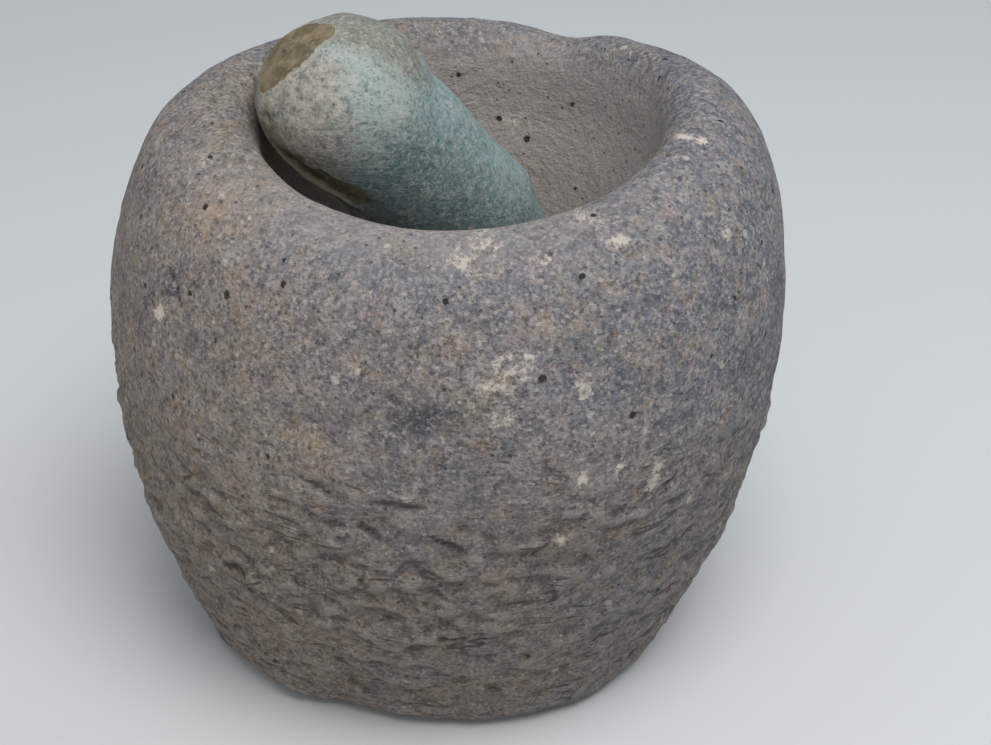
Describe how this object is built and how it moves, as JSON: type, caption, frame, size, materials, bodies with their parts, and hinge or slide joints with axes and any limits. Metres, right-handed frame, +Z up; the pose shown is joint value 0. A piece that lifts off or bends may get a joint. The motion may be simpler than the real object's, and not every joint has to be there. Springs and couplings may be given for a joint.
{
  "type": "stone mortar and pestle",
  "caption": "Deep footless stone mortar with a broad rounded rim and a flat base, and a loose cobble pestle that leans in its bowl.",
  "frame": {"origin": "on the floor, under the middle of the mortar's outline seen from above", "axes": "+Z up out of the bowl, -Y towards the front, +X to the right seen from the front"},
  "size_m": [0.3634, 0.3528, 0.3478],
  "materials": {
    "mortar": "matte",
    "pestle": "matte"
  },
  "bodies": {
    "mortar": {"mortar": "mortar"},
    "pestle": {"pestle": "pestle"}
  },
  "joints": [
    {"name": "pestle_lift", "type": "slide", "parent": "mortar", "child": "pestle", "axis": [0, 0, 1], "range_m": [0, 0.2]}
  ]
}
